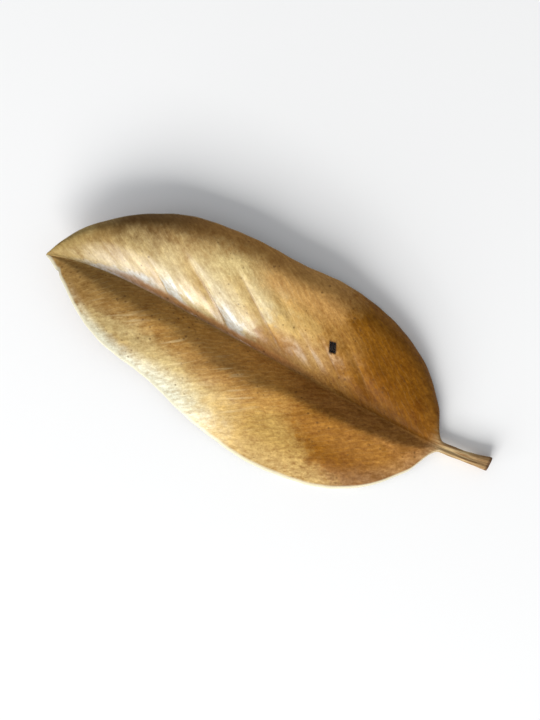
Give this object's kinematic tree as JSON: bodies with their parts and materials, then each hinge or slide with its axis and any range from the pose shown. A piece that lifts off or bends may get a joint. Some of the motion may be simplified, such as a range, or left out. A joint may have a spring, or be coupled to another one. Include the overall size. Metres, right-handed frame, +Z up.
{
  "type": "dried autumn leaf",
  "caption": "Dried leathery golden-brown autumn leaf, broad and pointed, folded along its midrib with drooping margins and a short thick stalk, lying on a surface as natural decoration.",
  "frame": {"origin": "on the surface the leaf rests on, under the middle of its bounding box", "axes": "+X along the leaf from its tip to its stalk, +Y across it, +Z up from the surface to the leaf's upper face"},
  "size_m": [0.188, 0.078, 0.0163],
  "materials": {
    "leaf": "dried leathery leaf: golden brown with a waxy semi-gloss above, matte rusty felt below, tan midrib and stalk"
  },
  "bodies": {
    "root": {"leaf": "leaf"}
  },
  "joints": []
}
